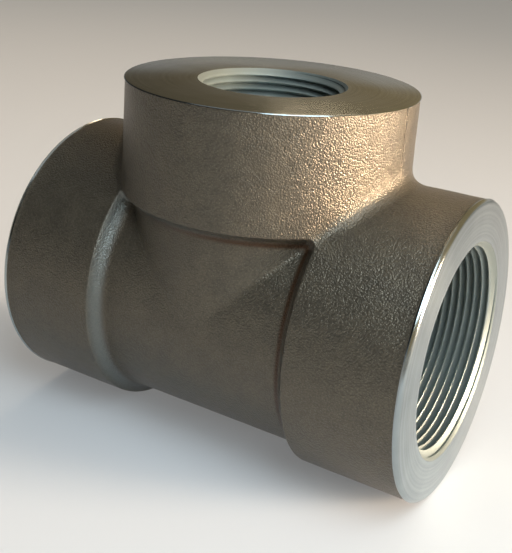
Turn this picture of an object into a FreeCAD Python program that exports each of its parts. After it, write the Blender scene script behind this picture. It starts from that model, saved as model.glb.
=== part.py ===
import FreeCAD, Part
import os
import Sketcher

# Forged steel reducing tee with taper-threaded ports, class 3000, run 2 inch, branch 1 1/4 inch.
# The run lies along X and the branch points up Z. The origin is where the three pipe axes cross.
# All lengths are in millimetres and angles in degrees.

SIZES = {
    # The forging: three equal arms, each a neck that steps out to a thick band at its end. The bands
    # meet over the middle, and overlap there by a little.
    "centre_to_end": 64.0,
    "band_diameter": 84.0,
    "band_overlap": 10.5,
    "band_step": 3.6,
    "shoulder_draft": 30.0,
    "shoulder_root_radius": 4.0,
    # The blend where the branch grows out of the run: tight in the corner between the shoulders,
    # fuller over the crown between the bands, and soft where the two necks run into each other.
    "corner_blend_radius": 0.7,
    "crown_blend_radius": 4.5,
    "throat_blend_radius": 6.0,
    # The turned end faces.
    "run_edge_chamfer": 1.5,
    "branch_edge_chamfer": 0.4,
    # The ports: a hole drilled for the taper tap, a countersink at its mouth and the waterway behind.
    "run_waterway_diameter": 52.5,
    "run_thread_diameter": 55.9,
    "run_thread_depth": 20.5,
    "run_countersink_diameter": 60.8,
    "branch_waterway_diameter": 35.0,
    "branch_thread_diameter": 37.8,
    "branch_thread_depth": 18.5,
    "branch_countersink_diameter": 42.8,
}

# How far each port's cutter runs out past the end face, and how near counts as the same place.
CUTTER_OVERRUN = 2.0
TOUCH = 0.01

ORIGIN = FreeCAD.Vector(0, 0, 0)
ALONG_X = FreeCAD.Vector(1, 0, 0)
ALONG_Y = FreeCAD.Vector(0, 1, 0)
ALONG_Z = FreeCAD.Vector(0, 0, 1)

# Every section is drawn along +X. The branch's solids are then stood upright.
LYING = FreeCAD.Placement()
UPRIGHT = FreeCAD.Placement(ORIGIN, FreeCAD.Rotation(ALONG_Y, -90))
TURNED_BACK = FreeCAD.Placement(ORIGIN, FreeCAD.Rotation(ALONG_Z, 180))

doc = FreeCAD.newDocument("ReducingTee")


def make_sheet():
    """The driving sizes, one to a row, with their names as aliases."""
    sheet = doc.addObject("Spreadsheet::Sheet", "Sizes")
    for row, (name, value) in enumerate(SIZES.items(), start=1):
        sheet.set(f"A{row}", name)
        sheet.set(f"B{row}", str(value))
        sheet.setAlias(f"B{row}", name)
    doc.recompute()
    return sheet


sheet = make_sheet()


def half_section(name, corners):
    """A closed outline in the XZ plane. Each corner is two formulas over the sheet: how far along
    the axis it lies, and how far out from it. A corner given as 0 lies on that axis. A third
    formula is the radius that the corner is rounded to."""
    sketch = doc.addObject("Sketcher::SketchObject", name)
    sketch.Placement = FreeCAD.Placement(ORIGIN, FreeCAD.Rotation(ALONG_X, 90))
    count = len(corners)
    rough = []
    for i, (along, *_) in enumerate(corners):
        side = -1 if along.startswith("-") else 1
        rough.append(FreeCAD.Vector(side * (10 + 5 * i), 10 + 3 * i * (count - i), 0))
    for i in range(count):
        sketch.addGeometry(Part.LineSegment(rough[i], rough[(i + 1) % count]), False)
    for i in range(count):
        sketch.addConstraint(Sketcher.Constraint("Coincident", i, 2, (i + 1) % count, 1))
    for i, (along, out, *_) in enumerate(corners):
        place_corner(sketch, i, "DistanceX", -2, along, f"along_{i}")
        place_corner(sketch, i, "DistanceY", -1, out, f"out_{i}")
    doc.recompute()
    for i, (_, _, *radius) in enumerate(corners):
        if radius:
            round_corner(sketch, i, radius[0])
    doc.recompute()
    return sketch


def place_corner(sketch, line, kind, axis, formula, label):
    """Hold the start of a line at a distance given by a formula, or on the axis if it is 0."""
    if formula == "0":
        sketch.addConstraint(Sketcher.Constraint("PointOnObject", line, 1, axis))
        return
    start = -20.0 if formula.startswith("-") else 20.0
    index = sketch.addConstraint(Sketcher.Constraint(kind, -1, 1, line, 1, start))
    sketch.renameConstraint(index, label)
    sketch.setExpression(f"Constraints.{label}", formula)


def round_corner(sketch, line, formula):
    """Round the corner at the start of a line with an arc that touches both of its lines."""
    before = (line - 1) % sum(g.TypeId == "Part::GeomLineSegment" for g in sketch.Geometry)
    arc = sketch.GeometryCount
    sketch.fillet(before, 2, 0.5, True, True)
    index = sketch.addConstraint(Sketcher.Constraint("Radius", arc, 0.5))
    sketch.renameConstraint(index, f"round_{line}")
    sketch.setExpression(f"Constraints.round_{line}", formula)


def turned(name, section, placement):
    """The solid that a half section sweeps when it turns about its own axis."""
    solid = doc.addObject("Part::Revolution", name)
    solid.Source = section
    solid.Axis = ALONG_X
    solid.Base = ORIGIN
    solid.Angle = 360.0
    solid.Solid = True
    solid.Placement = placement
    return solid


def arm_outline(edge_chamfer):
    """The corners of one arm's half section, from the centre of its end face inwards: end face,
    edge chamfer, band and drafted shoulder, down to the neck."""
    end = "Sizes.centre_to_end"
    band_radius = "Sizes.band_diameter / 2"
    shoulder = f"({band_radius} - Sizes.band_overlap)"
    slope = "Sizes.band_step * tan(Sizes.shoulder_draft * 1 deg)"
    return [
        (end, "0"),
        (end, f"{band_radius} - Sizes.{edge_chamfer}"),
        (f"{end} - Sizes.{edge_chamfer}", band_radius),
        (shoulder, band_radius),
        (f"{shoulder} - {slope}", f"{band_radius} - Sizes.band_step", "Sizes.shoulder_root_radius"),
    ]


def run_section():
    """Half section of the whole run, the same to the left of the branch as to its right."""
    right = arm_outline("run_edge_chamfer")
    left = [(f"-({along})", *rest) for along, *rest in reversed(right)]
    return half_section("run_section", right + left)


def branch_section():
    """Half section of the branch, which starts on the run's axis."""
    neck_radius = "Sizes.band_diameter / 2 - Sizes.band_step"
    outline = arm_outline("branch_edge_chamfer")
    return half_section("branch_section", [("0", "0")] + outline + [("0", neck_radius)])


def junction_edges(shape):
    """The edges where the branch meets the run, each with its blend radius at both ends. All arms
    have one section, so these edges lie in the two planes halfway between the arms."""
    found = []
    for number, edge in enumerate(shape.Edges, start=1):
        ends = [edge.Vertexes[0].Point, edge.Vertexes[-1].Point]
        middle = edge.valueAt((edge.FirstParameter + edge.LastParameter) / 2)
        if middle.z > 0.5 and all(abs(abs(p.x) - p.z) < TOUCH for p in ends + [middle]):
            found.append((number, junction_radius(ends[0]), junction_radius(ends[1])))
    return found


def junction_radius(point):
    """The blend radius at one end of a junction edge: at the crown, where the bands meet over the
    middle of the run, at the throat, where the necks meet on the side, or in the corner between."""
    if abs(point.y) < TOUCH:
        return sheet.get("crown_blend_radius")
    if abs(point.x) < TOUCH:
        return sheet.get("throat_blend_radius")
    return sheet.get("corner_blend_radius")


def port_section(name, prefix):
    """Half section of one port's cutter, drawn from the centre outwards. The countersink and the
    cone from the thread's wall down to the waterway both lean at 45 degrees."""
    end = "Sizes.centre_to_end"
    depth = f"Sizes.{prefix}_thread_depth"
    wall = f"Sizes.{prefix}_thread_diameter / 2"
    waterway = f"Sizes.{prefix}_waterway_diameter / 2"
    countersink = f"Sizes.{prefix}_countersink_diameter / 2"
    return half_section(name, [
        ("0", "0"),
        (f"{end} + {CUTTER_OVERRUN}", "0"),
        (f"{end} + {CUTTER_OVERRUN}", countersink),
        (end, countersink),
        (f"{end} - ({countersink} - {wall})", wall),
        (f"{end} - {depth}", wall),
        (f"{end} - {depth} - ({wall} - {waterway})", waterway),
        ("0", waterway),
    ])


def quarter_space():
    """A block over the quarter of the forging in front of the run's middle, on its right."""
    block = doc.addObject("Part::Box", "quarter_space")
    for size in ("Length", "Width"):
        block.setExpression(size, "Sizes.centre_to_end + Sizes.band_diameter")
    block.setExpression("Height", "2 * (Sizes.centre_to_end + Sizes.band_diameter)")
    block.setExpression("Placement.Base.z", "-(Sizes.centre_to_end + Sizes.band_diameter)")
    return block


def mirrored(name, item, normal):
    """The same solid on the other side of the plane through the centre with this normal."""
    mirror = doc.addObject("Part::Mirroring", name)
    mirror.Source = item
    mirror.Normal = normal
    return mirror


def build_forging():
    """The outside of the tee: run and branch joined and blended into each other."""
    run_blank = turned("run_blank", run_section(), LYING)
    branch_blank = turned("branch_blank", branch_section(), UPRIGHT)
    joined = doc.addObject("Part::MultiFuse", "joined_arms")
    joined.Shapes = [run_blank, branch_blank]
    joined.Refine = True
    quarter = doc.addObject("Part::MultiCommon", "quarter")
    quarter.Shapes = [joined, quarter_space()]
    doc.recompute()
    blended = doc.addObject("Part::Fillet", "blended_quarter")
    blended.Base = quarter
    blended.Edges = junction_edges(quarter.Shape)
    half = doc.addObject("Part::MultiFuse", "front_half")
    half.Shapes = [blended, mirrored("left_quarter", blended, ALONG_X)]
    whole = doc.addObject("Part::MultiFuse", "blended_forging")
    whole.Shapes = [half, mirrored("back_half", half, ALONG_Y)]
    whole.Refine = True
    doc.recompute()
    return whole


def build_ports():
    """Everything that is bored out of the tee."""
    run_port = port_section("run_port_section", "run")
    branch_port = port_section("branch_port_section", "branch")
    ports = doc.addObject("Part::MultiFuse", "ports")
    ports.Shapes = [
        turned("right_port", run_port, LYING),
        turned("left_port", run_port, TURNED_BACK),
        turned("branch_port", branch_port, UPRIGHT),
    ]
    ports.Refine = True
    return ports


def build_tee():
    """The finished forging, with its three ports bored."""
    tee = doc.addObject("Part::Cut", "tee_body")
    tee.Base = build_forging()
    tee.Tool = build_ports()
    tee.Refine = True
    tee.Label = "tee_body"
    doc.recompute()
    return tee


def check_document():
    """Stop if any object of the document failed."""
    for item in doc.Objects:
        if "Invalid" in item.State or "Error" in item.State:
            raise RuntimeError(f"{item.Name} failed: {item.State}")


def write_part(item):
    """Write one sub-part's solid to its own file, if it is sound."""
    shape = item.Shape
    if shape.isNull() or not shape.isValid() or len(shape.Solids) != 1:
        raise RuntimeError(f"{item.Label} isn't one sound solid")
    os.makedirs("parts", exist_ok=True)
    shape.exportStep(f"parts/{item.Label}.step")
    box = shape.BoundBox
    print(item.Label, "volume", round(shape.Volume), "mm3, faces", len(shape.Faces),
          "box", [round(v, 2) for v in (box.XLength, box.YLength, box.ZLength)])


tee = build_tee()
check_document()
write_part(tee)
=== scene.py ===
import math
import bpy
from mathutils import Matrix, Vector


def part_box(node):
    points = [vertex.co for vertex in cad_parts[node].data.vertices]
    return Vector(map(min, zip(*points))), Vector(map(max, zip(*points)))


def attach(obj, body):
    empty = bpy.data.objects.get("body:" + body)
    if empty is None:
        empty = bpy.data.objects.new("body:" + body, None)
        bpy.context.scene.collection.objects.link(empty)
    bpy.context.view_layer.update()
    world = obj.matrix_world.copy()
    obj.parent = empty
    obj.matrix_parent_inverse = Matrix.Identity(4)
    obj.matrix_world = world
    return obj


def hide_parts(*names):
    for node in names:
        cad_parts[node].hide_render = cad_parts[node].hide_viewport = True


bl_info = {
    "name": "Forged Reducing Tee",
    "version": (1, 0, 0),
    "blender": (4, 5, 0),
    "location": "View3D > Sidebar > Tee",
    "description": "Dresses a forged reducing tee: forging skin, turned faces and tapered pipe threads",
    "category": "Add Mesh",
}

from functools import partial

import bmesh
import bpy
import numpy as np
from mathutils import Matrix, Vector

MM = 0.001
NODE = "tee_body"
PIECE = "forged_tee"

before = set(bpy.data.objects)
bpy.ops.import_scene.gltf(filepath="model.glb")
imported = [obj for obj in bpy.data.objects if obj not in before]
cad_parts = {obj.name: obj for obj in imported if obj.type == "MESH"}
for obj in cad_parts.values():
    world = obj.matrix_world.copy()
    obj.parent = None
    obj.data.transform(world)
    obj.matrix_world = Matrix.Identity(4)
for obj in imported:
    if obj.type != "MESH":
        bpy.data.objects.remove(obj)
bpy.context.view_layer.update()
CAD_LOW, CAD_HIGH = (np.array(corner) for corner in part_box(NODE))

# What the frame says of the forging: its ends lie at the box's faces, and its bands are as wide.
CENTRE_TO_END = float(CAD_HIGH[0])
BAND_RADIUS = float(-CAD_LOW[2])

# The blank's materials, by their place in its list. The ports' cutters bring the third, bored steel.
SKIN, TURNED = 0, 1

# The blend radius at places across the tee, from over its middle (0) to its side (1): which radius
# it is taken from, and how many times that.
BLENDS = (
    (0, "crown_blend", 1.0),
    (0.55, "crown_blend", 0.9),
    (0.68, "corner_blend", 1.0),
    (0.74, "corner_blend", 1.4),
    (0.86, "throat_blend", 0.7),
    (1.0, "throat_blend", 1.0),
)

# Points nearer together than the first are the same point, and numbers below the second are none.
SAME_PLACE = 1e-6
NEXT_TO_NONE = 1e-9

# How points are moved out onto the forging's surface: rounds, the step that measures how fast the
# gap grows, the least growth that is believed, and the furthest that a point moves in one round.
SOLVE_ROUNDS = 30
PROBE_STEP = 0.02 * MM
LEAST_GROWTH = 0.25
FURTHEST_MOVE = 1 * MM

# The blank's rows along an arm, how much they crowd at the start of the band and how far from the
# shoulder its rows start, its rows round the turned edge, and its columns in degrees from the
# parting plane, closer together over the flash line.
NECK_ROWS, SHOULDER_ROWS, BAND_ROWS = 22, 22, 30
BAND_CROWDING = 1.4
ROW_MARGIN = 0.1 * MM
EDGE_STEPS = 5
FLASH_COLUMNS = np.arange(0, 3.0, 0.32)
OTHER_COLUMNS = np.linspace(3.2, 90, 67)

# The ports' cutters: columns round them, rows in each turn of the thread, how far they reach out of
# the end face, the flat on each crest and root as a share of the pitch, and how near points are that
# become one.
PORT_COLUMNS = 120
THREAD_ROWS = 8
CUTTER_OVERRUN = 1.0 * MM
THREAD_FLAT = 0.06
WELD = 0.002 * MM

# Edges between smooth faces are drawn sharp where they turn by more than this.
SHARP_ANGLE = math.radians(32)

# Painted shade, a rust-brown, lies this far down the neck from where its line would meet the
# shoulder's, and the middle of the shoulder lies this far out from there. How strong that painted
# shade is at the left end, and at the right.
ROOT_SHADE_INSET = 0.7 * MM
SHOULDER_MIDDLE = 1.3 * MM
LEAST_ROOT_SHADE, MOST_ROOT_SHADE = 0.2, 0.85

# Sizes of the patterns in the finishes.
PEBBLE, PEBBLE_DRIFT, GRIT, OIL_PATCH = 0.5 * MM, 1.5 * MM, 0.4 * MM, 5 * MM
LATHE_RING, TURNED_STAIN, BORED_STAIN = 0.9 * MM, 14 * MM, 3 * MM

# Kinds of node that are used often. A mix node takes its share at input 0, and numbers at 2 and 3,
# vectors at 4 and 5 or colours at 6 and 7, which come out at outputs 0, 1 and 2.
MATH = "ShaderNodeMath"
MIX = "ShaderNodeMix"
RANGE = "ShaderNodeMapRange"
NOISE = "ShaderNodeTexNoise"
VECTOR_MATH = "ShaderNodeVectorMath"
SEPARATE = "ShaderNodeSeparateXYZ"
COMBINE = "ShaderNodeCombineXYZ"
PRINCIPLED = "ShaderNodeBsdfPrincipled"


class TeeForging(bpy.types.PropertyGroup):
    """Sizes of the forging between its end faces."""

    band_overlap: bpy.props.FloatProperty(
        name="Band overlap", description="How far each band reaches in past the next band's radius",
        default=10.5 * MM, unit="LENGTH")
    band_step: bpy.props.FloatProperty(
        name="Band step", description="How far the band stands out from the neck",
        default=3.6 * MM, unit="LENGTH")
    shoulder_draft: bpy.props.FloatProperty(
        name="Shoulder draft", description="How far the shoulder leans from square",
        default=math.radians(30), unit="ROTATION")
    root_radius: bpy.props.FloatProperty(
        name="Shoulder root radius", description="Radius where the shoulder meets the neck",
        default=4.0 * MM, unit="LENGTH")
    edge_radius: bpy.props.FloatProperty(
        name="Shoulder edge radius", description="Radius where the shoulder meets the band",
        default=1.0 * MM, unit="LENGTH")
    run_chamfer: bpy.props.FloatProperty(
        name="Run edge chamfer", description="Turned chamfer round each end of the run",
        default=1.5 * MM, unit="LENGTH")
    branch_chamfer: bpy.props.FloatProperty(
        name="Branch edge chamfer", description="Turned chamfer round the end of the branch",
        default=0.4 * MM, unit="LENGTH")
    crown_blend: bpy.props.FloatProperty(
        name="Crown blend", description="Blend radius between the bands over the middle",
        default=4.5 * MM, unit="LENGTH")
    corner_blend: bpy.props.FloatProperty(
        name="Corner blend", description="Blend radius in the corner between the shoulders",
        default=1.0 * MM, unit="LENGTH")
    throat_blend: bpy.props.FloatProperty(
        name="Throat blend", description="Blend radius where the necks meet on the side",
        default=7.0 * MM, unit="LENGTH")


class TeePorts(bpy.types.PropertyGroup):
    """Sizes of the bored and threaded ports."""

    pitch: bpy.props.FloatProperty(
        name="Thread pitch", description="11.5 threads to the inch",
        default=25.4 / 11.5 * MM, unit="LENGTH")
    height: bpy.props.FloatProperty(
        name="Thread height", description="From crest to root",
        default=1.767 * MM, unit="LENGTH")
    taper: bpy.props.FloatProperty(
        name="Thread taper", description="Change of diameter along the thread", default=1 / 16)
    run_crest: bpy.props.FloatProperty(
        name="Run crest radius", description="Thread crest radius at the run's mouths",
        default=28.28 * MM, unit="LENGTH")
    run_depth: bpy.props.FloatProperty(
        name="Run thread depth", description="How deep the run's threads go",
        default=20.5 * MM, unit="LENGTH")
    run_countersink: bpy.props.FloatProperty(
        name="Run countersink radius", description="Radius of the run's mouths",
        default=30.4 * MM, unit="LENGTH")
    run_waterway: bpy.props.FloatProperty(
        name="Run waterway radius", description="Radius of the bore along the run",
        default=26.25 * MM, unit="LENGTH")
    branch_crest: bpy.props.FloatProperty(
        name="Branch crest radius", description="Thread crest radius at the branch's mouth",
        default=19.225 * MM, unit="LENGTH")
    branch_depth: bpy.props.FloatProperty(
        name="Branch thread depth", description="How deep the branch's thread goes",
        default=18.5 * MM, unit="LENGTH")
    branch_countersink: bpy.props.FloatProperty(
        name="Branch countersink radius", description="Radius of the branch's mouth",
        default=21.4 * MM, unit="LENGTH")
    branch_waterway: bpy.props.FloatProperty(
        name="Branch waterway radius", description="Radius of the bore down the branch",
        default=17.5 * MM, unit="LENGTH")


class TeeSkin(bpy.types.PropertyGroup):
    """The forging skin's relief and the finishes' colours."""

    hammer_height: bpy.props.FloatProperty(
        name="Die waviness", description="Height of the long waves that the die leaves",
        default=0.16 * MM, unit="LENGTH")
    hammer_size: bpy.props.FloatProperty(
        name="Die waviness size", description="Length of those waves",
        default=9.0 * MM, unit="LENGTH")
    grain_height: bpy.props.FloatProperty(
        name="Blast grain height", description="Height of the coarse blasted grain",
        default=0.10 * MM, unit="LENGTH")
    grain_size: bpy.props.FloatProperty(
        name="Blast grain size", description="Size of the coarse blasted grain",
        default=2.2 * MM, unit="LENGTH")
    flash_height: bpy.props.FloatProperty(
        name="Flash line height", description="How proud the trimmed flash line stands",
        default=0.32 * MM, unit="LENGTH")
    flash_width: bpy.props.FloatProperty(
        name="Flash line width", description="Width of the trimmed flash line",
        default=2.2 * MM, unit="LENGTH")
    oiled_scale: bpy.props.StringProperty(
        name="Oiled scale", description="Colour of the skin, as sRGB hex", default="#635c50")
    dark_scale: bpy.props.StringProperty(
        name="Dark scale", description="Colour of the skin's darker patches, as sRGB hex",
        default="#5a544a")
    pit_scale: bpy.props.StringProperty(
        name="Pit scale", description="Colour in the skin's pits, as sRGB hex", default="#2c2924")
    worn_scale: bpy.props.StringProperty(
        name="Worn scale", description="Colour on the skin's peaks, as sRGB hex", default="#a39a86")
    # Painted shade: a rust-brown laid in the shoulders' roots, where shade falls.
    painted_root_shade: bpy.props.StringProperty(
        name="Root stain", description="Colour of the rust in the shoulders' roots, as sRGB hex",
        default="#452c17")
    # Painted reflection: a pale blue-grey laid on the left shoulder, which faces the lamps.
    painted_shoulder_sheen: bpy.props.StringProperty(
        name="Burnished shoulder", description="Colour of the left shoulder, rubbed bare, as sRGB hex",
        default="#747a79")
    turned_steel: bpy.props.StringProperty(
        name="Turned steel", description="Colour of the turned faces, as sRGB hex",
        default="#a8b1b3")
    turned_shade: bpy.props.StringProperty(
        name="Turned shade", description="Colour of the turned faces' darker rings, as sRGB hex",
        default="#8d9597")
    bored_steel: bpy.props.StringProperty(
        name="Bored steel", description="Colour of threads and bores, as sRGB hex",
        default="#a0a9a6")
    bored_shade: bpy.props.StringProperty(
        name="Bored shade", description="Colour of the threads' duller patches, as sRGB hex",
        default="#87908e")
    # Painted shade: a darker grey laid in the thread grooves.
    painted_groove_shade: bpy.props.StringProperty(
        name="Groove oil", description="Colour of the oil in the thread grooves, as sRGB hex",
        default="#7d8684")


def hex_to_linear(code):
    """An sRGB hex colour as the linear colour that the shaders take."""
    parts = [int(code[i:i + 2], 16) / 255 for i in (1, 3, 5)]
    return tuple(c / 12.92 if c <= 0.04045 else ((c + 0.055) / 1.055) ** 2.4 for c in parts) + (1.0,)


def add_node(tree, kind, *values, output=0, **options):
    """Add a node and give back one of its outputs, if it has any. Values and sockets go to its inputs
    in order. An option with a small letter sets the node itself, one with a capital goes to the
    input of that name, and in0, in1 and so on go to the input of that number."""
    node = tree.nodes.new(kind)
    feeds = list(enumerate(values))
    for key, value in options.items():
        if key.startswith("in") and key[2:].isdigit():
            feeds.append((int(key[2:]), value))
        elif key[0].isupper():
            feeds.append((key.replace("_", " "), value))
        else:
            setattr(node, key, value)
    for place, value in feeds:
        if isinstance(value, bpy.types.NodeSocket):
            tree.links.new(value, node.inputs[place])
        else:
            node.inputs[place].default_value = value
    return node.outputs[output] if node.outputs else None


def add_object(name, data):
    """Put a mesh, camera or lamp into the scene as an object of that name."""
    item = bpy.data.objects.new(name, data)
    bpy.context.scene.collection.objects.link(item)
    return item


# The forging's surface.

def shoulder_marks(sizes):
    """Where the shoulder's root, face and edge start and end along an arm, and its lean."""
    lean = math.pi / 2 - sizes.shoulder_draft
    outer = BAND_RADIUS - sizes.band_overlap
    inner = outer - sizes.band_step / math.tan(lean)
    root_run = sizes.root_radius * math.tan(lean / 2)
    edge_run = sizes.edge_radius * math.tan(lean / 2)
    return {
        "lean": lean,
        "inner": inner,
        "root_start": inner - root_run,
        "root_end": inner + root_run * math.cos(lean),
        "edge_start": outer - edge_run * math.cos(lean),
        "edge_end": outer + edge_run,
    }


def arm_profile(sizes, along):
    """Radius of one arm and its slope, at distances along its axis from the centre."""
    marks = shoulder_marks(sizes)
    neck = BAND_RADIUS - sizes.band_step
    lean_slope = math.tan(marks["lean"])
    along = np.asarray(along, float)
    radius = np.full(along.shape, neck)
    slope = np.zeros(along.shape)

    root = (along > marks["root_start"]) & (along <= marks["root_end"])
    lift = along[root] - marks["root_start"]
    depth = np.sqrt(sizes.root_radius ** 2 - lift ** 2)
    radius[root] = neck + sizes.root_radius - depth
    slope[root] = lift / depth

    face = (along > marks["root_end"]) & (along <= marks["edge_start"])
    radius[face] = neck + (along[face] - marks["inner"]) * lean_slope
    slope[face] = lean_slope

    edge = (along > marks["edge_start"]) & (along <= marks["edge_end"])
    drop = marks["edge_end"] - along[edge]
    depth = np.sqrt(np.maximum(sizes.edge_radius ** 2 - drop ** 2, SAME_PLACE ** 2))
    radius[edge] = BAND_RADIUS - sizes.edge_radius + depth
    slope[edge] = drop / depth

    radius[along > marks["edge_end"]] = BAND_RADIUS
    return radius, slope


def surface_distance(sizes, points):
    """How far points lie outside the blended forging, before its relief."""
    x, y, z = points
    run_out = np.hypot(y, z)
    run_radius, run_slope = arm_profile(sizes, np.abs(x))
    branch_out = np.hypot(x, y)
    branch_radius, branch_slope = arm_profile(sizes, np.maximum(z, 0))
    run_scale = np.sqrt(1 + run_slope ** 2)
    branch_scale = np.sqrt(1 + branch_slope ** 2)
    run_gap = (run_out - run_radius) / run_scale
    branch_gap = (branch_out - branch_radius) / branch_scale
    branch_gap = np.where(z < 0, np.hypot(np.maximum(branch_gap, 0), z), branch_gap)

    run_normal = [-run_slope * np.sign(x) / run_scale,
                  y / run_out / run_scale,
                  z / run_out / run_scale]
    branch_normal = [x / branch_out / branch_scale,
                     y / branch_out / branch_scale,
                     -branch_slope / branch_scale]
    turn = sum(a * b for a, b in zip(run_normal, branch_normal))
    half_turn = np.arccos(np.clip(turn, -1, 1)) / 2
    blend = np.interp(np.abs(y) / BAND_RADIUS, [place for place, _, _ in BLENDS],
                      [times * getattr(sizes, name) for _, name, times in BLENDS])
    reach = np.maximum(4 * blend * (1 - np.cos(half_turn)), NEXT_TO_NONE)
    overlap = np.maximum(reach - np.abs(run_gap - branch_gap), 0) / reach
    return np.minimum(run_gap, branch_gap) - overlap ** 2 * reach / 4


def solve_outwards(sizes, place, start):
    """Move each point out along its own ray until it lies on the forging's surface."""
    out = start.copy()
    for _ in range(SOLVE_ROUNDS):
        gap = surface_distance(sizes, place(out))
        growth = (surface_distance(sizes, place(out + PROBE_STEP)) - gap) / PROBE_STEP
        out = out - np.clip(gap / np.maximum(growth, LEAST_GROWTH), -FURTHEST_MOVE, FURTHEST_MOVE)
    return out


def column_angles():
    """Angles round an arm from the parting plane, closer together at the flash line."""
    quarter = np.concatenate([FLASH_COLUMNS, OTHER_COLUMNS])
    half = np.concatenate([quarter, 180 - quarter[-2::-1]])
    return np.radians(np.concatenate([half, -half[-2:0:-1]]))


def row_places(sizes, start, end):
    """How far along the arm each row lies, column by column: evenly over the neck, at one place all
    round over the shoulder, and closer together where the band grows out of the crown."""
    marks = shoulder_marks(sizes)
    low, high = marks["root_start"] - ROW_MARGIN, marks["edge_end"] + ROW_MARGIN
    rows = []
    for share in np.arange(1, NECK_ROWS) / NECK_ROWS:
        rows.append(start + np.maximum(low - start, 0) * share)
    for share in np.arange(SHOULDER_ROWS + 1) / SHOULDER_ROWS:
        rows.append(np.maximum(start, low + (high - low) * share))
    band_start = np.maximum(start, high)
    for share in np.arange(1, BAND_ROWS + 1) / BAND_ROWS:
        rows.append(band_start + (end - band_start) * share ** BAND_CROWDING)
    return rows


def ring_points(arm, along, radius):
    """Points round one arm in the columns' directions, at distances along and out from its axis."""
    angle = column_angles()
    across, upwards = -np.sin(angle) * radius, np.cos(angle) * radius
    level = np.broadcast_to(along, angle.shape)
    if arm == "branch":
        return np.stack([upwards, across, level])
    return np.stack([-level if arm == "left" else level, across, upwards])


def arm_grid(sizes, arm, chamfer):
    """Points of one arm, in rows from where it leaves the others to the edge of its chamfer."""
    cosine = np.cos(column_angles())
    lean = np.abs(cosine) if arm == "branch" else np.maximum(cosine, 0)

    def on_junction(out):
        return ring_points(arm, out * lean, out)

    guess = np.full(cosine.shape, BAND_RADIUS)
    junction = solve_outwards(sizes, on_junction, guess)
    start = junction * lean
    start[np.abs(cosine) < NEXT_TO_NONE] = 0
    points = [on_junction(junction).T]
    for along in row_places(sizes, start, CENTRE_TO_END - chamfer):
        out = solve_outwards(sizes, lambda o, a=along: ring_points(arm, a, o), guess)
        out = np.where(along > start, out, junction)
        points.append(ring_points(arm, along, out).T)
    return points


def add_ring(mesh, points):
    """Add a ring of vertices."""
    return [mesh.verts.new(p) for p in points]


def join_rings(mesh, inner, outer, material):
    """Add the faces between two rings."""
    for i in range(len(inner)):
        j = (i + 1) % len(inner)
        face = mesh.faces.new((inner[i], inner[j], outer[j], outer[i]))
        face.material_index = material
        face.smooth = True


def add_arm(mesh, sizes, arm):
    """Add one arm: its skin, the turned and rounded edge, and the end face."""
    chamfer = sizes.branch_chamfer if arm == "branch" else sizes.run_chamfer
    rings = [add_ring(mesh, points) for points in arm_grid(sizes, arm, chamfer)]
    for inner, outer in zip(rings, rings[1:]):
        join_rings(mesh, inner, outer, SKIN)
    edge = rings[-1]
    for step in range(1, EDGE_STEPS + 1):
        turn = math.pi / 2 * step / EDGE_STEPS
        ring = add_ring(mesh, ring_points(arm, CENTRE_TO_END - chamfer * (1 - math.sin(turn)),
                                          BAND_RADIUS - chamfer * (1 - math.cos(turn))).T)
        join_rings(mesh, edge, ring, TURNED)
        edge = ring
    mesh.faces.new(edge).material_index = TURNED


def build_blank(sizes):
    """The whole forging as one closed mesh, with its turned edges and end faces."""
    mesh = bmesh.new()
    for arm in ("right", "left", "branch"):
        add_arm(mesh, sizes, arm)
    bmesh.ops.remove_doubles(mesh, verts=mesh.verts, dist=SAME_PLACE)
    bmesh.ops.recalc_face_normals(mesh, faces=mesh.faces)
    data = bpy.data.meshes.new("forging_blank")
    mesh.to_mesh(data)
    mesh.free()
    mark_skin(data)
    return add_object("forging_blank", data)


def mark_skin(data):
    """Store how much of the relief each vertex takes: all on the skin and its edge, and none on the
    turned faces."""
    on_skin = np.zeros(len(data.vertices))
    for face in data.polygons:
        if face.material_index == SKIN:
            on_skin[list(face.vertices)] = 1
    data.attributes.new("relief", "FLOAT", "POINT").data.foreach_set("value", on_skin)


# Geometry Nodes trees.

def new_geometry_tree(name, sizes):
    """A Geometry Nodes tree with a geometry in and out and the named sizes as inputs. Gives back the
    tree, the function that adds a node to it, and its inputs' sockets."""
    tree = bpy.data.node_groups.new(name, "GeometryNodeTree")
    tree.interface.new_socket("Geometry", in_out="INPUT", socket_type="NodeSocketGeometry")
    tree.interface.new_socket("Geometry", in_out="OUTPUT", socket_type="NodeSocketGeometry")
    for label, value in sizes.items():
        kind = "NodeSocketInt" if isinstance(value, int) else "NodeSocketFloat"
        socket = tree.interface.new_socket(label, in_out="INPUT", socket_type=kind)
        socket.default_value = value
    add = partial(add_node, tree)
    return tree, add, add("NodeGroupInput").node.outputs


def run_tree(blank, tree, sizes, name):
    """Run a tree on an object and give back the result as a plain mesh object."""
    modifier = blank.modifiers.new(tree.name, "NODES")
    modifier.node_group = tree
    for item in tree.interface.items_tree:
        if item.in_out == "INPUT" and item.name in sizes:
            modifier[item.identifier] = sizes[item.name]
    evaluated = blank.evaluated_get(bpy.context.evaluated_depsgraph_get())
    data = bpy.data.meshes.new_from_object(evaluated)
    data.name = name
    bpy.data.objects.remove(blank)
    return add_object(name, data)


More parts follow.
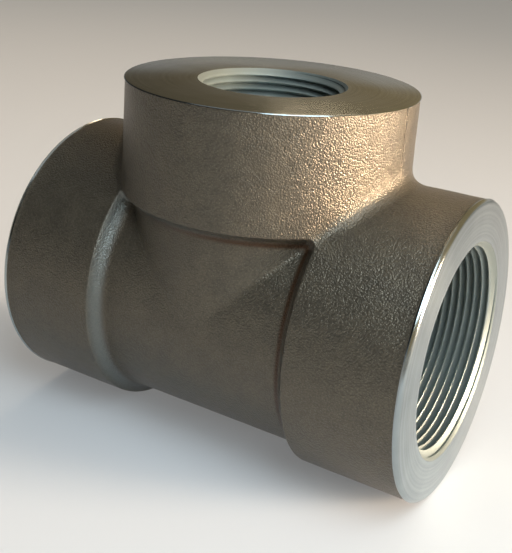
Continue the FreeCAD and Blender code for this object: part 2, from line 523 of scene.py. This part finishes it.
def relief_tree(sizes):
    """Forging skin: long die waves, blasted grain and the trimmed flash line, which stands proud on
    the branch and was ground off the run."""
    tree, add, get = new_geometry_tree("forging_relief", sizes)
    position = add("GeometryNodeInputPosition")
    normal = add("GeometryNodeInputNormal")
    mask = add("GeometryNodeInputNamedAttribute", data_type="FLOAT", Name="relief")

    def unevenness(size, detail, roughness, shift):
        """Noise about zero with waves of one of the sizes. Each shift gives another pattern."""
        moved = add(VECTOR_MATH, position, (shift, shift, shift), operation="ADD")
        scale = add(MATH, 1.0, get[size], operation="DIVIDE")
        value = add(NOISE, noise_dimensions="3D", Vector=moved, Scale=scale, Detail=detail,
                    Roughness=roughness)
        return add(MATH, value, 0.5, operation="SUBTRACT")

    long_waves = unevenness("Wave Size", detail=2.0, roughness=0.5, shift=0.31)
    fine_waves = unevenness("Grain Size", detail=2.0, roughness=0.6, shift=0.77)
    waves = add(MATH, long_waves, get["Wave Height"], operation="MULTIPLY")
    grain = add(MATH, fine_waves, get["Grain Height"], operation="MULTIPLY")
    uneven = add(MATH, waves, grain, operation="ADD")
    sunk = add(MATH, uneven, get["Flash Height"], operation="SUBTRACT")

    # The flash line is ragged, and a little lower than its full height on the whole.
    _, across, up = add(SEPARATE, position).node.outputs
    beside = add(MATH, across, operation="ABSOLUTE")
    standing = add(RANGE, interpolation_type="SMOOTHSTEP", Value=up, From_Min=BAND_RADIUS + 1 * MM,
                   From_Max=BAND_RADIUS + 9 * MM, To_Min=0.04, To_Max=1.0)
    half_width = add(MATH, get["Flash Width"], 0.5, operation="MULTIPLY")
    faded = add(MATH, half_width, 0.3 * MM, operation="ADD")
    line = add(RANGE, interpolation_type="SMOOTHSTEP", Value=beside, From_Min=half_width,
               From_Max=faded, To_Min=1.0, To_Max=0.0)
    rise_and_fall = unevenness("Wave Size", detail=3.0, roughness=0.6, shift=1.7)
    ragged = add(MATH, rise_and_fall, 0.95, operation="ADD")
    height = add(MATH, get["Flash Height"], standing, operation="MULTIPLY")
    ridge = add(MATH, line, ragged, operation="MULTIPLY")
    flash = add(MATH, ridge, height, operation="MULTIPLY")

    # The relief is all cut inwards, so that the tee stays inside its true size.
    raised = add(MATH, sunk, flash, operation="ADD")
    trimmed = add(MATH, raised, 0.0, operation="MINIMUM")
    lift = add(MATH, trimmed, mask, operation="MULTIPLY")
    offset = add(VECTOR_MATH, normal, operation="SCALE", Scale=lift)
    moved = add("GeometryNodeSetPosition", get["Geometry"], Offset=offset)
    plain = add("GeometryNodeRealizeInstances", moved)
    index = add("GeometryNodeInputMaterialIndex")
    on_skin = add("FunctionNodeCompare", data_type="INT", operation="EQUAL", in2=index, in3=SKIN)
    finished = add("GeometryNodeSetMaterial", plain, Selection=on_skin,
                   Material=bpy.data.materials["forged_skin"])
    add("NodeGroupOutput", finished)
    return tree


def cutter_tree(sizes):
    """A tapered pipe tap as a closed cutter, pointing down from the origin with its mouth at the top.
    A flat grid is wound into a helix, a row for each step of the thread's profile, so that every
    crest and root is a line of the mesh. Rows past either end are held at that end and welded."""
    tree, add, get = new_geometry_tree("tapered_thread", sizes)

    # From top to bottom: out past the mouth, down the thread, and down the cone behind it to just
    # inside the waterway.
    top = add(MATH, get["Overrun"], -1.0, operation="MULTIPLY")
    root = add(MATH, get["Crest Radius"], get["Height"], operation="ADD")
    half_taper = add(MATH, get["Taper"], 0.5, operation="MULTIPLY")
    narrowing = add(MATH, get["Depth"], half_taper, operation="MULTIPLY")
    end_root = add(MATH, root, narrowing, operation="SUBTRACT")
    tip = add(MATH, get["Waterway Radius"], 1 * MM, operation="SUBTRACT")
    cone = add(MATH, end_root, tip, operation="SUBTRACT")
    bottom = add(MATH, get["Depth"], cone, operation="ADD")

    # The grid has a turn of rows to spare, and one row at either end that closes on the axis.
    length = add(MATH, bottom, top, operation="SUBTRACT")
    pitches = add(MATH, length, get["Pitch"], operation="DIVIDE")
    whole_turns = add(MATH, pitches, operation="CEIL")
    with_spare = add(MATH, whole_turns, 1.0, operation="ADD")
    rows = add(MATH, with_spare, get["Rows Per Turn"], 3.0, operation="MULTIPLY_ADD")
    columns = add(MATH, get["Columns"], 1.0, operation="ADD")
    grid = add("GeometryNodeMeshGrid", Size_X=1.0, Size_Y=1.0, Vertices_X=columns, Vertices_Y=rows)

    # Each point's column and row, and how deep it lies once the grid is wound.
    index = add("GeometryNodeInputIndex")
    middle = add(MATH, index, 0.5, operation="ADD")
    part_column = add(MATH, middle, rows, operation="DIVIDE")
    column = add(MATH, part_column, operation="FLOOR")
    row_start = add(MATH, column, rows, operation="MULTIPLY")
    row = add(MATH, index, row_start, operation="SUBTRACT")
    share = add(MATH, column, get["Columns"], operation="DIVIDE")
    step = add(MATH, get["Pitch"], get["Rows Per Turn"], operation="DIVIDE")
    lead_in = add(MATH, top, get["Pitch"], operation="SUBTRACT")
    wall_row = add(MATH, row, 1.0, operation="SUBTRACT")
    wound = add(MATH, wall_row, step, lead_in, operation="MULTIPLY_ADD")
    helical = add(MATH, share, get["Pitch"], wound, operation="MULTIPLY_ADD")
    above = add(MATH, helical, top, operation="MAXIMUM")
    depth = add(MATH, above, bottom, operation="MINIMUM")

    # The thread's radius there, opened out by the countersink and closed in by the cone.
    turn = add(MATH, wall_row, get["Rows Per Turn"], operation="DIVIDE")
    phase = add(MATH, turn, operation="FRACT")
    swing = add(MATH, phase, 2.0, -1.0, operation="MULTIPLY_ADD")
    wave = add(MATH, swing, operation="ABSOLUTE")
    flank = add(RANGE, Value=wave, From_Min=THREAD_FLAT, From_Max=1 - THREAD_FLAT)
    narrowed = add(MATH, depth, half_taper, operation="MULTIPLY")
    crest = add(MATH, get["Crest Radius"], narrowed, operation="SUBTRACT")
    thread = add(MATH, flank, get["Height"], crest, operation="MULTIPLY_ADD")
    mouth = add(MATH, get["Countersink Radius"], depth, operation="SUBTRACT")
    opened = add(MATH, thread, mouth, operation="MAXIMUM")
    cone_start = add(MATH, end_root, get["Depth"], operation="ADD")
    run_out = add(MATH, cone_start, depth, operation="SUBTRACT")
    wall = add(MATH, opened, run_out, operation="MINIMUM")
    last_row = add(MATH, rows, 1.5, operation="SUBTRACT")
    before_last = add(MATH, row, last_row, operation="LESS_THAN")
    after_first = add(MATH, row, 0.5, operation="GREATER_THAN")
    between = add(MATH, before_last, after_first, operation="MULTIPLY")
    radius = add(MATH, wall, between, operation="MULTIPLY")

    angle = add(MATH, share, -2 * math.pi, operation="MULTIPLY")
    cosine = add(MATH, angle, operation="COSINE")
    sine = add(MATH, angle, operation="SINE")
    place = add(COMBINE, X=add(MATH, radius, cosine, operation="MULTIPLY"),
                Y=add(MATH, radius, sine, operation="MULTIPLY"),
                Z=add(MATH, depth, -1.0, operation="MULTIPLY"))
    moved = add("GeometryNodeSetPosition", grid, Position=place)
    welded = add("GeometryNodeMergeByDistance", moved, Distance=WELD)
    plain = add("GeometryNodeRealizeInstances", welded)
    finished = add("GeometryNodeSetMaterial", plain, Material=bpy.data.materials["bored_steel"])
    add("NodeGroupOutput", finished)
    return tree


# The ports.

def thread_cutter(ports, prefix, turn):
    """The cutter of one port, turned so that its mouth lies on the end face that it is for."""
    sizes = {
        "Crest Radius": getattr(ports, f"{prefix}_crest"),
        "Depth": getattr(ports, f"{prefix}_depth"),
        "Countersink Radius": getattr(ports, f"{prefix}_countersink"),
        "Waterway Radius": getattr(ports, f"{prefix}_waterway"),
        "Height": ports.height,
        "Pitch": ports.pitch,
        "Taper": ports.taper,
        "Overrun": CUTTER_OVERRUN,
        "Columns": PORT_COLUMNS,
        "Rows Per Turn": THREAD_ROWS,
    }
    tree = bpy.data.node_groups.get("tapered_thread") or cutter_tree(sizes)
    empty = add_object("tap", bpy.data.meshes.new("tap"))
    cutter = run_tree(empty, tree, sizes, "thread_cutter")
    cutter.data.transform(turn @ Matrix.Translation((0, 0, CENTRE_TO_END)))
    face_outwards(cutter.data)
    return cutter


def face_outwards(data):
    """Make every face of a closed mesh point out of it."""
    mesh = bmesh.new()
    mesh.from_mesh(data)
    bmesh.ops.recalc_face_normals(mesh, faces=mesh.faces)
    mesh.to_mesh(data)
    mesh.free()


def waterway_cutter(radius, low, high, turn):
    """A plain round cutter along the arm's axis."""
    mesh = bmesh.new()
    bmesh.ops.create_cone(mesh, cap_ends=True, segments=PORT_COLUMNS, radius1=radius, radius2=radius,
                          depth=high - low)
    bmesh.ops.translate(mesh, verts=mesh.verts, vec=(0, 0, (low + high) / 2))
    data = bpy.data.meshes.new("waterway_cutter")
    mesh.to_mesh(data)
    mesh.free()
    data.transform(turn)
    data.materials.append(bpy.data.materials["bored_steel"])
    return add_object("waterway_cutter", data)


def bore(body, cutters):
    """Cut each cutter out of the body, and give back the body as a plain mesh."""
    for cutter in cutters:
        cut = body.modifiers.new("bore", "BOOLEAN")
        cut.operation = "DIFFERENCE"
        cut.solver = "EXACT"
        cut.material_mode = "TRANSFER"
        cut.object = cutter
    evaluated = body.evaluated_get(bpy.context.evaluated_depsgraph_get())
    data = bpy.data.meshes.new_from_object(evaluated)
    for item in cutters + [body]:
        bpy.data.objects.remove(item)
    data.name = PIECE
    return add_object(PIECE, data)


# Finishes.

def new_material(name):
    """A material with an empty tree, and the function that adds a node to it."""
    material = bpy.data.materials.new(name)
    material.use_nodes = True
    material.node_tree.nodes.clear()
    return material, partial(add_node, material.node_tree)


def axis_spoke(add, place, branch_from):
    """Whether a point of an end face or a port is the branch's, which lies above branch_from, and
    the spoke to it from that arm's own axis."""
    x, y, z = add(SEPARATE, place).node.outputs
    on_branch = add(MATH, z, branch_from, operation="GREATER_THAN")
    run_spoke = add(COMBINE, X=0.0, Y=y, Z=z)
    branch_spoke = add(COMBINE, X=x, Y=y, Z=0.0)
    spoke = add(MIX, data_type="VECTOR", in0=on_branch, in4=run_spoke, in5=branch_spoke, output=1)
    return on_branch, spoke


def skin_material(skin, root_place):
    """Oiled, shot-blasted forging scale on steel: dark olive brown, pebbled about half a millimetre
    coarse by the shot, with a broad gloss from the oil film that sparkles on the pebbles. Painted
    shade, a rust-brown, lies in the shoulders' roots, most on the right, and a painted reflection, a
    pale blue-grey, lies on the left shoulder."""
    material, add = new_material("forged_skin")
    place = add("ShaderNodeTexCoord", output="Object")

    # Pebbles of uneven shape, with grit between them, and patches of thicker oil.
    drift = add(NOISE, noise_dimensions="3D", Vector=place, Scale=1 / PEBBLE_DRIFT, Detail=2.0,
                output="Color")
    shift = add(VECTOR_MATH, drift, operation="SCALE", Scale=PEBBLE)
    shifted = add(VECTOR_MATH, place, shift, operation="ADD")
    cells = add("ShaderNodeTexVoronoi", voronoi_dimensions="3D", feature="F1", Vector=shifted,
                Scale=1 / PEBBLE, output="Distance")
    pebbles = add(MATH, 1.0, cells, operation="SUBTRACT")
    grit = add(NOISE, noise_dimensions="3D", Vector=place, Scale=1 / GRIT, Detail=2.0,
               Roughness=0.6)
    patches = add(NOISE, noise_dimensions="3D", Vector=place, Scale=1 / OIL_PATCH, Detail=4.0,
                  Roughness=0.6)

    patchy = add(RANGE, Value=patches, From_Min=0.35, From_Max=0.65)
    base = add(MIX, data_type="RGBA", in0=patchy, in6=hex_to_linear(skin.dark_scale),
               in7=hex_to_linear(skin.oiled_scale), output=2)
    pits = add(RANGE, Value=cells, From_Min=0.45, From_Max=0.8, To_Max=0.25)
    pitted = add(MIX, data_type="RGBA", in0=pits, in6=base, in7=hex_to_linear(skin.pit_scale),
                 output=2)
    peaks = add(RANGE, Value=pebbles, From_Min=0.72, From_Max=0.92, To_Max=0.3)
    worn = add(MIX, data_type="RGBA", in0=peaks, in6=pitted, in7=hex_to_linear(skin.worn_scale),
               output=2)

    # Where the shoulders' roots and middles lie, and how strong the painted root shade is from left to
    # right.
    x, _, z = add(SEPARATE, place).node.outputs
    beside = add(MATH, x, operation="ABSOLUTE")
    along = add(MATH, beside, z, operation="MAXIMUM")
    past_root = add(MATH, along, root_place, operation="SUBTRACT")
    from_root = add(MATH, past_root, operation="ABSOLUTE")
    root = add(RANGE, interpolation_type="SMOOTHSTEP", Value=from_root, From_Min=0.1 * MM,
               From_Max=1.3 * MM, To_Min=1.0, To_Max=0.0)
    past_middle = add(MATH, past_root, SHOULDER_MIDDLE, operation="SUBTRACT")
    from_middle = add(MATH, past_middle, operation="ABSOLUTE")
    shoulder = add(RANGE, interpolation_type="SMOOTHSTEP", Value=from_middle, From_Min=0.6 * MM,
                   From_Max=2.4 * MM, To_Min=1.0, To_Max=0.0)
    # The painted root shade grows from the left end to the right end, whose shoulder faces away from
    # the lamps.
    side_shade_ramp = add(RANGE, Value=x, From_Min=-25 * MM, From_Max=10 * MM, To_Min=LEAST_ROOT_SHADE,
                To_Max=MOST_ROOT_SHADE)
    # Painted reflection on the shoulders, strongest on the left one and weaker where the painted root
    # shade is stronger.
    lit_side_share = add(MATH, MOST_ROOT_SHADE, side_shade_ramp, operation="SUBTRACT")
    sheen_share = add(MATH, shoulder, lit_side_share, operation="MULTIPLY")
    painted_shoulder_sheen = add(MIX, data_type="RGBA", in0=sheen_share, in6=worn, in7=hex_to_linear(skin.painted_shoulder_sheen),
                    output=2)
    # Painted shade in the roots, a rust-brown, stronger towards the right end.
    root_shade = add(MATH, root, side_shade_ramp, operation="MULTIPLY")
    root_shaded = add(MIX, data_type="RGBA", in0=root_shade, in6=painted_shoulder_sheen,
                  in7=hex_to_linear(skin.painted_root_shade), output=2)

    rough = add(RANGE, Value=patches, From_Min=0.3, From_Max=0.7, To_Min=0.31, To_Max=0.38)
    height = add(MATH, grit, 0.7, pebbles, operation="MULTIPLY_ADD")
    relief = add("ShaderNodeBump", Strength=1.0, Distance=0.16 * MM, Height=height)
    surface = add(PRINCIPLED, Base_Color=root_shaded, Metallic=0.6, Roughness=rough, Normal=relief)
    add("ShaderNodeOutputMaterial", surface)
    return material


def turned_material(skin):
    """Mild steel faced on a lathe: bright, with fine rings round the pipe's axis that draw the
    highlights out into spokes. The feed marks are too fine to show, so the rings are drawn in tone
    only and several times as coarse."""
    material, add = new_material("turned_steel")
    place = add("ShaderNodeTexCoord", output="Object")
    _, spoke = axis_spoke(add, place, branch_from=BAND_RADIUS + 5 * MM)
    radius = add(VECTOR_MATH, spoke, operation="LENGTH", output="Value")
    rings = add(NOISE, noise_dimensions="1D", W=radius, Scale=1 / LATHE_RING, Detail=1.0,
                Roughness=0.5)
    stain = add(NOISE, noise_dimensions="3D", Vector=place, Scale=1 / TURNED_STAIN, Detail=3.0,
                Roughness=0.6)
    both = add(MATH, rings, stain, operation="ADD")
    tone = add(RANGE, Value=both, From_Min=0.6, From_Max=1.4)
    colour = add(MIX, data_type="RGBA", in0=tone, in6=hex_to_linear(skin.turned_shade),
                 in7=hex_to_linear(skin.turned_steel), output=2)
    rough = add(RANGE, Value=stain, From_Min=0.3, From_Max=0.7, To_Min=0.17, To_Max=0.2)
    across_rings = add(VECTOR_MATH, spoke, operation="NORMALIZE")
    surface = add(PRINCIPLED, Base_Color=colour, Metallic=1.0, Roughness=rough, Anisotropic=0.7,
                  Tangent=across_rings)
    add("ShaderNodeOutputMaterial", surface)
    return material


def bored_material(skin, ports):
    """Threads and bores cut with soluble oil: grey and satin, with painted shade that darkens the
    thread grooves towards their roots."""
    material, add = new_material("bored_steel")
    place = add("ShaderNodeTexCoord", output="Object")

    # How deep in the thread a point lies, from the tapered crest out to the root.
    in_branch, spoke = axis_spoke(
        add, place, branch_from=CENTRE_TO_END - ports.branch_depth - 1 * MM)
    x, _, z = add(SEPARATE, place).node.outputs
    along_run = add(MATH, x, operation="ABSOLUTE")
    along = add(MIX, data_type="FLOAT", in0=in_branch, in2=along_run, in3=z)
    crest = add(MIX, data_type="FLOAT", in0=in_branch, in2=ports.run_crest, in3=ports.branch_crest)
    radius = add(VECTOR_MATH, spoke, operation="LENGTH", output="Value")
    depth = add(MATH, CENTRE_TO_END, along, operation="SUBTRACT")
    straightened = add(MATH, depth, ports.taper / 2, radius, operation="MULTIPLY_ADD")
    past_crest = add(MATH, straightened, crest, operation="SUBTRACT")
    groove_shade_share = add(RANGE, Value=past_crest, From_Min=0.15 * ports.height,
                 From_Max=0.75 * ports.height)

    stain = add(NOISE, noise_dimensions="3D", Vector=place, Scale=1 / BORED_STAIN, Detail=3.0,
                Roughness=0.6)
    cut = add(MIX, data_type="RGBA", in0=stain, in6=hex_to_linear(skin.bored_shade),
              in7=hex_to_linear(skin.bored_steel), output=2)
    # Painted shade: the thread grooves are darkened towards their roots.
    colour = add(MIX, data_type="RGBA", in0=groove_shade_share, in6=cut, in7=hex_to_linear(skin.painted_groove_shade),
                 output=2)
    relief = add("ShaderNodeBump", Strength=0.3, Distance=0.03 * MM, Height=stain)
    surface = add(PRINCIPLED, Base_Color=colour, Metallic=0.7, Roughness=0.48, Normal=relief)
    add("ShaderNodeOutputMaterial", surface)
    return material


class TEE_OT_forging(bpy.types.Operator):
    """Make the forged tee with its skin, turned faces and threaded ports"""

    bl_idname = "tee.forging"
    bl_label = "Forged tee"

    def execute(self, context):
        scene = context.scene
        sizes, ports, skin = scene.tee_forging, scene.tee_ports, scene.tee_skin
        root_place = shoulder_marks(sizes)["inner"] - ROOT_SHADE_INSET
        finishes = [skin_material(skin, root_place), turned_material(skin), bored_material(skin, ports)]
        blank = build_blank(sizes)
        for finish in finishes:
            blank.data.materials.append(finish)
        relief = {
            "Wave Height": skin.hammer_height,
            "Wave Size": skin.hammer_size,
            "Grain Height": skin.grain_height,
            "Grain Size": skin.grain_size,
            "Flash Height": skin.flash_height,
            "Flash Width": skin.flash_width,
        }
        forging = run_tree(blank, relief_tree(relief), relief, "forging")

        upright = Matrix.Identity(4)
        right = Matrix.Rotation(math.pi / 2, 4, "Y")
        left = Matrix.Rotation(-math.pi / 2, 4, "Y")
        run_half = CENTRE_TO_END - ports.run_depth
        tee = bore(forging, [
            waterway_cutter(ports.run_waterway, -run_half, run_half, right),
            waterway_cutter(ports.branch_waterway, 0, CENTRE_TO_END - ports.branch_depth, upright),
            thread_cutter(ports, "run", right),
            thread_cutter(ports, "run", left),
            thread_cutter(ports, "branch", upright),
        ])
        tee.data.set_sharp_from_angle(angle=SHARP_ANGLE)
        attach(tee, "root")
        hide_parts(NODE)
        return {"FINISHED"}


# The stage: a pale floor, soft lamps and the photograph's camera.

# The photograph's frame in pixels, and the width of the camera's sensor in millimetres.
PHOTO_WIDTH, PHOTO_HEIGHT = 512, 553
SENSOR = 36.0


class TeeStage(bpy.types.PropertyGroup):
    """The camera: where it stands and how it sees the tee."""

    azimuth: bpy.props.FloatProperty(
        name="Camera azimuth", description="From straight in front, towards the right end",
        default=math.radians(29.71), unit="ROTATION")
    elevation: bpy.props.FloatProperty(
        name="Camera elevation", description="Above the run's axis",
        default=math.radians(16.27), unit="ROTATION")
    roll: bpy.props.FloatProperty(
        name="Camera roll", description="Turn about the line of sight",
        default=math.radians(-4.07), unit="ROTATION")
    distance: bpy.props.FloatProperty(
        name="Camera distance", description="From the point looked at",
        default=274.75 * MM, unit="LENGTH")
    focal_pixels: bpy.props.FloatProperty(
        name="Focal length in pixels", description="Of the photograph's frame", default=936.7)
    look_along: bpy.props.FloatProperty(
        name="Looked-at point along the run", description="On the camera's axis",
        default=-1.61 * MM, unit="LENGTH")
    look_up: bpy.props.FloatProperty(
        name="Looked-at point up the branch", description="On the camera's axis",
        default=35.66 * MM, unit="LENGTH")
    axis_x: bpy.props.FloatProperty(
        name="Axis column", description="Column of the photograph on the camera's axis", default=261.4)
    axis_y: bpy.props.FloatProperty(
        name="Axis row", description="Row of the photograph on the camera's axis", default=176.0)


def towards(azimuth, elevation):
    """The direction of a bearing. Azimuth 0 is straight in front of the tee and 90 at its right."""
    return Vector((math.sin(azimuth) * math.cos(elevation), -math.cos(azimuth) * math.cos(elevation),
                   math.sin(elevation)))


def place_camera(stage):
    """Set the camera where the photograph was taken from."""
    azimuth, elevation, roll = stage.azimuth, stage.elevation, stage.roll
    back = towards(azimuth, elevation)
    right = (-back).cross(Vector((0, 0, 1))).normalized()
    up = back.cross(right)
    rolled_right = math.cos(roll) * right - math.sin(roll) * up
    rolled_up = math.sin(roll) * right + math.cos(roll) * up
    data = bpy.data.cameras.new("camera")
    data.sensor_width = SENSOR
    data.lens = stage.focal_pixels * SENSOR / PHOTO_HEIGHT
    data.shift_x = (PHOTO_WIDTH / 2 - stage.axis_x) / PHOTO_HEIGHT
    data.shift_y = (stage.axis_y - PHOTO_HEIGHT / 2) / PHOTO_HEIGHT
    data.clip_start = 10 * MM
    data.clip_end = 20.0
    camera = add_object("camera", data)
    turn = Matrix((rolled_right, rolled_up, back)).transposed().to_4x4()
    target = Vector((stage.look_along, 0, stage.look_up))
    camera.matrix_world = Matrix.Translation(target + back * stage.distance) @ turn
    bpy.context.scene.camera = camera


# The point that the lamps look at, and each lamp's name, azimuth and elevation in degrees, distance
# and size in metres, power in watts, colour and spread in degrees.
LAMP_TARGET = Vector((0.0, 0.0, 0.01))
LAMPS = (
    ("ceiling", 0, 90, 2.4, 3.0, 12.0, "#f4f6f8", 180),
    ("front_window", 52, 44, 0.45, 0.3, 2.5, "#ccdde6", 180),
    ("warm_key", 106, 8, 2.4, 0.7, 14.0, "#ffe4c6", 40),
    ("back_lamp", 201, 42, 1.2, 0.25, 1.6, "#ffe0bc", 180),
)

FLOOR_SIZE = 4.0
FLOOR_GAP = 0.2 * MM
FLOOR_COLOUR, FLOOR_GLOW = "#c9cdd2", "#e9ebed"
GLOW_SHARE = 0.2

# The room's and the wall's colour on the left and on the right, the way from left to right, and the
# heights between which the wall gives way to the room.
ROOM_COLOURS = "#292b2b", "#ae986f"
WALL_COLOURS = "#8f9294", "#c6c0b5"
TO_THE_RIGHT = (0.9, 0.43, 0.0)
WALL_TOP = math.radians(5.5), math.radians(9.5)


def add_lamp(name, azimuth, elevation, distance, size, power, colour, spread):
    """A square soft lamp that looks at the tee."""
    data = bpy.data.lights.new(name, "AREA")
    data.size = size
    data.energy = power
    data.color = hex_to_linear(colour)[:3]
    data.spread = math.radians(spread)
    away = towards(math.radians(azimuth), math.radians(elevation))
    turn = away.to_track_quat("Z", "Y").to_matrix().to_4x4()
    lamp = add_object(name, data)
    lamp.matrix_world = Matrix.Translation(LAMP_TARGET + away * distance) @ turn


def add_floor():
    """A wide pale floor under the bands. Part of its paleness is a glow that only the eye and
    reflections see, so it stays pale without more light on the tee."""
    mesh = bmesh.new()
    bmesh.ops.create_grid(mesh, x_segments=1, y_segments=1, size=FLOOR_SIZE)
    bmesh.ops.translate(mesh, verts=mesh.verts, vec=(0, 0, -BAND_RADIUS - FLOOR_GAP))
    data = bpy.data.meshes.new("floor")
    mesh.to_mesh(data)
    mesh.free()
    floor = add_object("floor", data)
    material, add = new_material("floor_paper")
    paper = add(PRINCIPLED, Base_Color=hex_to_linear(FLOOR_COLOUR), Roughness=0.9)
    rays = add("ShaderNodeLightPath").node.outputs
    seen = add(MATH, rays["Is Camera Ray"], rays["Is Glossy Ray"], operation="MAXIMUM")
    seen = add(MATH, seen, rays["Is Transmission Ray"], operation="MAXIMUM")
    share = add(MATH, seen, GLOW_SHARE, operation="MULTIPLY")
    glow = add("ShaderNodeEmission", Color=hex_to_linear(FLOOR_GLOW), Strength=1.0)
    mixed = add("ShaderNodeMixShader", share, paper, glow)
    add("ShaderNodeOutputMaterial", mixed)
    data.materials.append(material)


def light_world():
    """A dim surround, darker and cooler on the left, brighter and warmer on the right, with a pale
    wall behind the floor's edge."""
    world = bpy.data.worlds.new("studio")
    bpy.context.scene.world = world
    world.use_nodes = True
    world.node_tree.nodes.clear()
    add = partial(add_node, world.node_tree)
    direction = add("ShaderNodeTexCoord", output="Generated")
    side = add(VECTOR_MATH, direction, TO_THE_RIGHT, operation="DOT_PRODUCT", output="Value")
    warmth = add(RANGE, interpolation_type="SMOOTHSTEP", Value=side, From_Min=-0.6, From_Max=0.6)
    room, wall = (add(MIX, data_type="RGBA", in0=warmth, in6=hex_to_linear(left),
                      in7=hex_to_linear(right), output=2)
                  for left, right in (ROOM_COLOURS, WALL_COLOURS))
    height = add(SEPARATE, direction).node.outputs[2]
    above = add(RANGE, interpolation_type="SMOOTHSTEP", Value=height,
                From_Min=math.sin(WALL_TOP[0]), From_Max=math.sin(WALL_TOP[1]))
    colour = add(MIX, data_type="RGBA", in0=above, in6=wall, in7=room, output=2)
    around = add("ShaderNodeBackground", Color=colour, Strength=1.0)
    add("ShaderNodeOutputWorld", around)


class TEE_OT_stage(bpy.types.Operator):
    """Set the floor, the lamps and the camera"""

    bl_idname = "tee.stage"
    bl_label = "Stage"

    def execute(self, context):
        context.scene.view_settings.view_transform = "Standard"
        place_camera(context.scene.tee_stage)
        add_floor()
        light_world()
        for lamp in LAMPS:
            add_lamp(*lamp)
        return {"FINISHED"}


class TEE_PT_panel(bpy.types.Panel):
    """Lists what makes the tee, with its sizes"""

    bl_label = "Forged tee"
    bl_idname = "TEE_PT_panel"
    bl_space_type = "VIEW_3D"
    bl_region_type = "UI"
    bl_category = "Tee"

    def draw(self, context):
        for group, operator in (("tee_forging", "tee.forging"), ("tee_ports", None), ("tee_skin", None),
                                ("tee_stage", "tee.stage")):
            box = self.layout.box()
            settings = getattr(context.scene, group)
            for name in settings.bl_rna.properties.keys():
                if name not in ("rna_type", "name"):
                    box.prop(settings, name)
            if operator:
                box.operator(operator)


GROUPS = {"tee_forging": TeeForging, "tee_ports": TeePorts, "tee_skin": TeeSkin, "tee_stage": TeeStage}
CLASSES = (TEE_OT_forging, TEE_OT_stage, TEE_PT_panel)


def register():
    for name, group in GROUPS.items():
        bpy.utils.register_class(group)
        setattr(bpy.types.Scene, name, bpy.props.PointerProperty(type=group))
    for item in CLASSES:
        bpy.utils.register_class(item)


def unregister():
    for item in reversed(CLASSES):
        bpy.utils.unregister_class(item)
    for name, group in GROUPS.items():
        delattr(bpy.types.Scene, name)
        bpy.utils.unregister_class(group)


def main():
    register()
    bpy.ops.tee.forging()
    bpy.ops.tee.stage()


if __name__ == "__main__":
    main()
